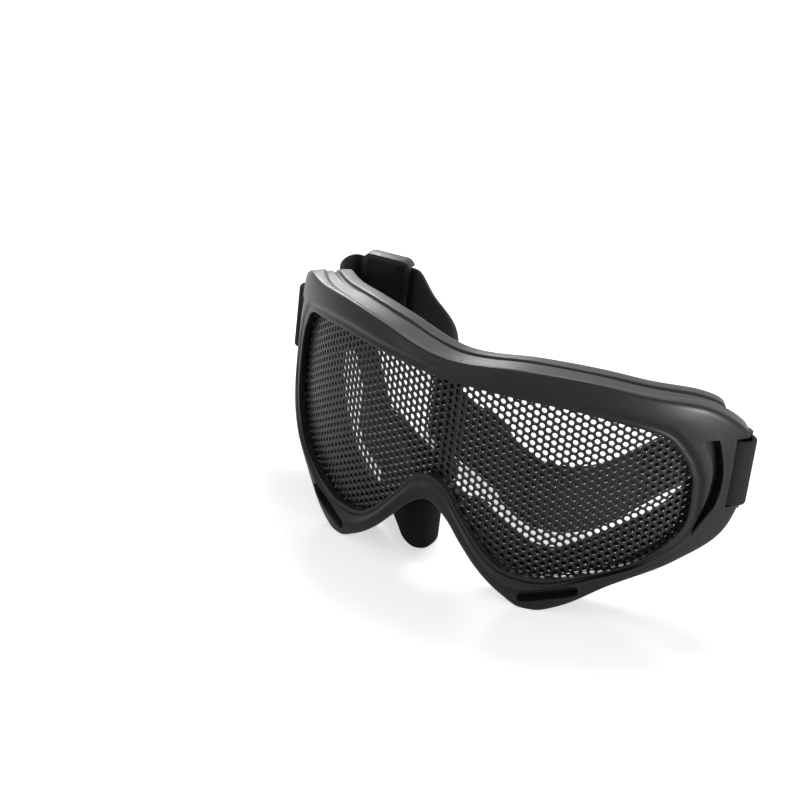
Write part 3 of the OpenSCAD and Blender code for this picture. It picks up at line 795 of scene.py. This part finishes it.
def lens_surface(size, radius):
    """The perforated sheet: hexagons whose holes stand in staggered columns, each hexagon split into 12 quads
    round its hole. They are centred inside the sheet's edge or up to 0.9 mm past it. Points past the edge
    move to it, and quads that shrink to under 0.03 square mm there are left out. An edge that only one
    front face has gets a wall to the back face."""
    opening, _, wall, _ = outlines(10)
    edge = towards(opening, wall, SHEET_REACH)
    pitch, hole, sheet = size.pitch / MM, size.hole / MM / 2, size.sheet / MM
    column = pitch * math.sqrt(3) / 2
    reach, height = np.ceil(edge.max(axis=0) / [column, pitch]) + 1
    col, row = np.meshgrid(np.arange(-reach, reach + 1), np.arange(height + 1), indexing="ij")
    centre = np.stack([col * column, (row + (col % 2) / 2) * pitch], axis=-1).reshape(-1, 2)
    _, inside, gap = nearest(edge, centre)
    centre = centre[inside | (gap < 0.9)]
    spread = np.where(np.arange(12) % 2 == 0, pitch / math.sqrt(3), pitch / 2)
    turn = around(np.arange(12) * math.pi / 6)
    outer = centre[:, None] + turn * spread[:, None]
    inner = centre[:, None] + turn * hole
    flat = np.concatenate([outer, inner], axis=1).reshape(-1, 2)
    foot, inside, _ = nearest(edge, flat)
    flat = np.where(inside[:, None], flat, foot)
    unique, index = np.unique(flat.round(3), axis=0, return_inverse=True)
    cell = index.reshape(len(centre), 2, 12)
    turned = np.roll(cell, -1, axis=2)
    quads = np.stack([cell[:, 0], turned[:, 0], turned[:, 1], cell[:, 1]], axis=-1).reshape(-1, 4)
    corners = unique[quads]
    x, y = corners[..., 0], corners[..., 1]
    area = np.abs((x * np.roll(y, -1, 1) - y * np.roll(x, -1, 1)).sum(axis=1)) / 2
    quads = quads[area > 0.03]
    sides = np.stack([quads, np.roll(quads, -1, axis=1)], axis=-1).reshape(-1, 2)
    sides = sides[sides[:, 0] != sides[:, 1]]
    _, which, count = np.unique(np.sort(sides, axis=1), axis=0, return_inverse=True, return_counts=True)
    lone = sides[count[which.ravel()] == 1]
    n = len(unique)
    walls = np.column_stack([lone[:, 1], lone[:, 0], lone[:, 0] + n, lone[:, 1] + n])
    faces = np.vstack([quads, quads[:, ::-1] + n, walls])
    layers = [rolled(unique[:, 0], unique[:, 1], np.full(n, d), radius)
              for d in (SHEET_DEPTH, SHEET_DEPTH + sheet)]
    used, fresh = np.unique(faces, return_inverse=True)
    return np.vstack(layers)[used], fresh.reshape(faces.shape)


class GOGGLES_OT_lens(bpy.types.Operator):
    """Bend and punch the steel lens with its staggered round holes"""
    bl_idname = "goggles.lens"
    bl_label = "Perforated lens"

    def execute(self, context):
        points, faces = lens_surface(context.scene.goggles_lens, context.scene.goggles_rim.lens_radius / MM)
        clean = [tuple(dict.fromkeys(f)) for f in faces.tolist()]
        lens = new_piece("perforated_lens", points, [f for f in clean if len(f) > 2], angle=35)
        dress(lens, "lens_coated", "goggles", "mesh", "mesh_lens")
        return {"FINISHED"}


# Pieces rounded from CAD nodes

def softened(node, name, width):
    """A copy of a CAD node with its corners merged, its flat faces joined up and its edges rounded."""
    mesh = bpy.data.meshes.new(name)
    work = bmesh.new()
    work.from_mesh(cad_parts[node].data)
    bmesh.ops.remove_doubles(work, verts=work.verts, dist=2e-6)
    bmesh.ops.dissolve_limit(work, angle_limit=math.radians(3), verts=work.verts, edges=work.edges)
    work.to_mesh(mesh)
    work.free()
    piece = linked(name, mesh)
    run_modifier(piece, "BEVEL", width=width, segments=3, limit_method="ANGLE", angle_limit=math.radians(32))
    finish_surface(piece, 30)
    return piece


class GOGGLES_OT_post(bpy.types.Operator):
    """Stand the post between the brow and the nose, behind the lens"""
    bl_idname = "goggles.post"
    bl_label = "Centre post"

    def execute(self, context):
        post = softened("centre_post", "middle_post", 0.0006)
        dress(post, "post_matte", "goggles", "post", "centre_post")
        return {"FINISHED"}


class GOGGLES_OT_slider(bpy.types.Operator):
    """Thread the ladder slider on the webbing"""
    bl_idname = "goggles.slider"
    bl_label = "Slider"

    def execute(self, context):
        slider = softened("slider", "strap_slider", 0.0005)
        dress(slider, "slider_satin", "slider", "slider", "slider")
        return {"FINISHED"}


# Webbing

def web_section(width, thickness, corner):
    """Closed section of webbing as (across, up): two faces with rounded selvedges."""
    h = thickness / 2
    arcs = [[x, z] + corner * around(np.linspace(0, math.pi / 2, 4) + turn)
            for x, z, turn in ((h - corner, width - corner, 0), (corner - h, width - corner, math.pi / 2),
                               (corner - h, corner, math.pi), (h - corner, corner, 1.5 * math.pi))]
    rise = np.linspace(corner, width - corner, 8)[1:-1]
    left, right = np.column_stack([0 * rise - h, rise[::-1]]), np.column_stack([0 * rise + h, rise])
    return np.vstack([arcs[0], arcs[1], left, arcs[2], arcs[3], right])


def swept_web(path, low, width, thickness):
    """Webbing stood on edge along a path: at each station its section is turned square to the path in plan,
    its lower edge at `low` and its height scaled to `width`. UV is (length run, height) in metres."""
    step = np.gradient(path, axis=0)
    side = np.column_stack([-step[:, 1], step[:, 0]]) / np.linalg.norm(step, axis=1, keepdims=True)
    across, up = web_section(WEB_WIDTH, thickness, 0.4 * thickness).T
    rise = up / WEB_WIDTH * width[:, None]
    xy = path[:, None] + side[:, None] * across[:, None]
    points, faces = loft(np.concatenate([xy, (low[:, None] + rise)[..., None]], axis=-1))
    run = np.concatenate([[0], np.cumsum(np.linalg.norm(np.diff(path, axis=0), axis=1))])
    uv = np.stack(np.broadcast_arrays(run[:, None], rise), axis=-1).reshape(-1, 2) * MM
    return points, faces, uv, run[-1]


def web_run(radius, full, steps):
    """The middle line of the webbing between its two tails, with its lower edge as z, and its width at each
    station, which eases from the loop's to the full width."""
    at, _ = bar_place(radius)
    tail = np.array([-math.cos(TAIL_ANGLE), math.sin(TAIL_ANGLE)])
    ends = np.array([[*(at + length * tail), LOOP_Z] for length in TAIL_RUN])
    run = smooth_run([*(ends * [-1, 1, 1]), *STRAP, *ends[::-1]], steps)
    run[:, 2] = np.maximum(run[:, 2], 0)
    station = np.arange(len(run))
    nearer = np.minimum(station, len(run) - 1 - station) / (4 * steps)
    return run, LOOP_WIDTH + (full - LOOP_WIDTH) * ease(nearer)


class GOGGLES_OT_webbing(bpy.types.Operator):
    """Lay the elastic head strap as a middle piece and an end piece at each side"""
    bl_idname = "goggles.webbing"
    bl_label = "Head strap"

    def execute(self, context):
        size = context.scene.goggles_webbing
        radius = context.scene.goggles_rim.lens_radius / MM
        steps = 9
        run, width = web_run(radius, round(size.width / MM, 3), steps)
        cut = 3 * steps
        spans = {"strap_end_left": slice(0, cut + 1), "strap_middle": slice(cut, len(run) - cut),
                 "strap_end_right": slice(len(run) - cut - 1, len(run))}
        for name, span in spans.items():
            part = run[span]
            points, faces, uv, length = swept_web(part[:, :2], part[:, 2], width[span], size.thickness / MM)
            web = new_piece(name, points, faces, uv=uv, angle=50)
            if name == "strap_middle":
                dress(web, "webbing_woven", "goggles", "webbing", "strap_main")
            else:
                dress(web, "webbing_woven", None, "webbing", "strap_main")
                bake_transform(web)
        return {"FINISHED"}


def loop_path():
    """The webbing's middle line round the bar, from the end of one tail to the end of the other: a tail
    beside the other, a smooth spread, and a round about the bar."""
    reach = loop_reach() - WEB / 2
    lean = math.acos((TAIL_OFFSET + reach) / (2 * reach))
    start = math.pi / 2 - lean
    bend_x = 2 * reach * math.sin(lean)
    over = [bend_x, TAIL_OFFSET + reach] - reach * around(np.linspace(0, lean, 9))[:, ::-1]
    tail = np.column_stack([np.linspace(TAIL_LENGTH, bend_x, 8)[:-1], np.full(7, TAIL_OFFSET)])
    upper = np.vstack([tail, over])
    circle = reach * around(np.linspace(start, 2 * math.pi - start, 61))
    return np.vstack([upper, circle[1:-1], (upper * [1, -1])[::-1]])


def to_loop(points, radius, side):
    """Points of the end loop's drawing, with its tails along x and its bar at the origin, at their place."""
    at, _ = bar_place(radius)
    turn = math.pi - TAIL_ANGLE
    c, s = math.cos(turn), math.sin(turn)
    x = points[..., 0] * c - points[..., 1] * s + at[0]
    y = points[..., 0] * s + points[..., 1] * c + at[1]
    return np.stack([side * x, y, points[..., 2] + LOOP_Z], axis=-1)


def stitch_points():
    """Stitches on both faces of the tails, 1 mm clear of the webbing's edges: each is a bent capsule, 0.66 mm
    wide, whose ends dip into the webbing."""
    t = np.linspace(0, 1, 9)
    swell = np.sin(np.pi * t)[:, None, None]
    ring = around(np.linspace(0, 2 * math.pi, 9)[:-1]) * [0.33, 0.26]
    one, one_faces = loft(upright(ring * np.maximum(swell, 0.02) ** 0.4 + [0, 0.12] * swell, STITCH * t))
    gap = (LOOP_WIDTH - 2) / STITCHES
    rows, steps, sides = np.meshgrid(STITCH_ROWS, np.arange(STITCHES), [-1, 1], indexing="ij")
    spots = np.stack([rows, sides * WEB, 1 + steps * gap + (gap - STITCH) / 2], axis=-1).reshape(-1, 3)
    points, faces = [], []
    for k, (spot, side) in enumerate(zip(spots, sides.ravel())):
        points.append(spot + one * [1, side, 1])
        faces += [tuple(v + len(one) * k for v in f)[::side] for f in one_faces]
    points = np.vstack(points)
    return points, faces, points[:, [2, 0]] * MM


class GOGGLES_OT_end_loops(bpy.types.Operator):
    """Fold the webbing round each bar and sew its tails together"""
    bl_idname = "goggles.end_loops"
    bl_label = "End loops and stitching"

    def execute(self, context):
        radius = context.scene.goggles_rim.lens_radius / MM
        path = loop_path()
        ones = np.ones(len(path))
        points, faces, uv, length = swept_web(path, 0 * ones, LOOP_WIDTH * ones, WEB)
        thread, thread_faces, thread_uv = stitch_points()
        for side, cad in ((1, "right"), (-1, "left")):
            loop = new_piece("web_loop_" + cad, to_loop(points, radius, side), faces, uv=uv, angle=50)
            dress(loop, "webbing_woven", "loop_" + cad, "webbing", "strap_loop_" + cad)
            sewn = new_piece("sewing_" + cad, to_loop(thread, radius, side), thread_faces, uv=thread_uv,
                             angle=60)
            dress(sewn, "thread_twisted", "loop_" + cad, "thread", "stitch_" + cad)
        return {"FINISHED"}


# Studio

class GOGGLES_OT_studio(bpy.types.Operator):
    """Set up the pale floor, the soft lamps and the camera"""
    bl_idname = "goggles.studio"
    bl_label = "Studio"

    def execute(self, context):
        scene = context.scene
        studio = scene.goggles_studio
        self.floor(scene)
        for name, (at, aim, size, setting) in LAMPS.items():
            self.lamp(name, at, aim, size, getattr(studio, setting))
        self.camera(scene, studio.lens)
        scene.view_settings.view_transform = "Standard"
        return {"FINISHED"}

    def floor(self, scene):
        """A flat floor 12 m across, lit by the lamps and by a glow of its own where it is seen, and a world
        that is white where it is seen and pale grey as light."""
        mesh = bpy.data.meshes.new("floor")
        mesh.from_pydata([(-6, -6, 0), (6, -6, 0), (6, 6, 0), (-6, 6, 0)], [], [(0, 1, 2, 3)])
        floor = linked("floor", mesh)
        material, tree, shader = new_material("floor_pale")
        camera = maths(tree, "MULTIPLY", add(tree, "LightPath").outputs["Is Camera Ray"], 0.35)
        feed_all(tree, shader, Base_Color=opaque(scene.goggles_finishes.floor), Roughness=0.9,
                 Specular_IOR_Level=0.1, Emission_Color=(1, 1, 1, 1),
                 Emission_Strength=maths(tree, "MULTIPLY_ADD", self.seen(tree), 0.25, camera))
        mesh.materials.append(material)
        world = bpy.data.worlds.new("studio_world")
        scene.world = world
        world.use_nodes = True
        tree = world.node_tree
        feed_all(tree, tree.nodes["Background"], Color=(1, 1, 1, 1),
                 Strength=maths(tree, "MULTIPLY_ADD", self.seen(tree), 0.65, 0.35))

    def seen(self, tree):
        """1 for rays from the camera, a mirror or clear matter, and 0 for light on the object."""
        path = add(tree, "LightPath").outputs
        both = maths(tree, "ADD", path["Is Camera Ray"], path["Is Glossy Ray"])
        return maths(tree, "ADD", both, path["Is Transmission Ray"], clamp=True)

    def lamp(self, name, at, aim, size, power):
        """A square lamp of that size at a point, turned to another."""
        data = bpy.data.lights.new(name, "AREA")
        data.size = size
        data.energy = power
        back = np.array(at) - np.array(aim)
        back /= np.linalg.norm(back)
        linked(name, data).matrix_world = facing(back, at)

    def camera(self, scene, lens):
        """The camera of the photograph."""
        azimuth, elevation, roll = (math.radians(v) for v in CAMERA_ANGLES)
        back = np.array([math.sin(azimuth) * math.cos(elevation), -math.cos(azimuth) * math.cos(elevation),
                         math.sin(elevation)])
        data = bpy.data.cameras.new("camera")
        data.lens = lens
        data.sensor_width = 36
        camera = linked("camera", data)
        camera.matrix_world = facing(back, (CAMERA_AT + PLACE) * MM, roll)
        scene.camera = camera


def facing(back, at, roll=0.0):
    """A matrix at a point whose -Z looks against `back`, level but for the roll."""
    right = np.cross([0, 0, 1], back)
    right = right / np.linalg.norm(right)
    up = np.cross(back, right)
    c, s = math.cos(roll), math.sin(roll)
    axes = np.eye(4)
    axes[:3, 0], axes[:3, 1], axes[:3, 2] = c * right + s * up, c * up - s * right, back
    axes[:3, 3] = at
    return Matrix(axes.tolist())


class GOGGLES_PT_panel(bpy.types.Panel):
    """Sizes, finishes and build steps of the goggles"""
    bl_idname = "GOGGLES_PT_panel"
    bl_label = "Goggles"
    bl_space_type = "VIEW_3D"
    bl_region_type = "UI"
    bl_category = "Goggles"

    def draw(self, context):
        for settings in GROUPS:
            group = getattr(context.scene, settings)
            box = self.layout.box()
            for name in group.__annotations__:
                box.prop(group, name)
        for operator in STEPS:
            self.layout.operator(operator.bl_idname)


STEPS = (GOGGLES_OT_studio, GOGGLES_OT_rim, GOGGLES_OT_lens, GOGGLES_OT_post, GOGGLES_OT_webbing,
         GOGGLES_OT_end_loops, GOGGLES_OT_slider)
GROUPS = {"goggles_rim": RimSizes, "goggles_lens": LensSizes, "goggles_webbing": WebbingSizes,
          "goggles_finishes": Finishes, "goggles_studio": StudioSettings}
CLASSES = (*GROUPS.values(), *STEPS, GOGGLES_PT_panel)


def register():
    for cls in CLASSES:
        bpy.utils.register_class(cls)
    for name, group in GROUPS.items():
        setattr(bpy.types.Scene, name, bpy.props.PointerProperty(type=group))


def unregister():
    for name in GROUPS:
        delattr(bpy.types.Scene, name)
    for cls in reversed(CLASSES):
        bpy.utils.unregister_class(cls)


def main():
    register()
    for operator in STEPS:
        group, name = operator.bl_idname.split(".")
        getattr(getattr(bpy.ops, group), name)()


if __name__ == "__main__":
    main()
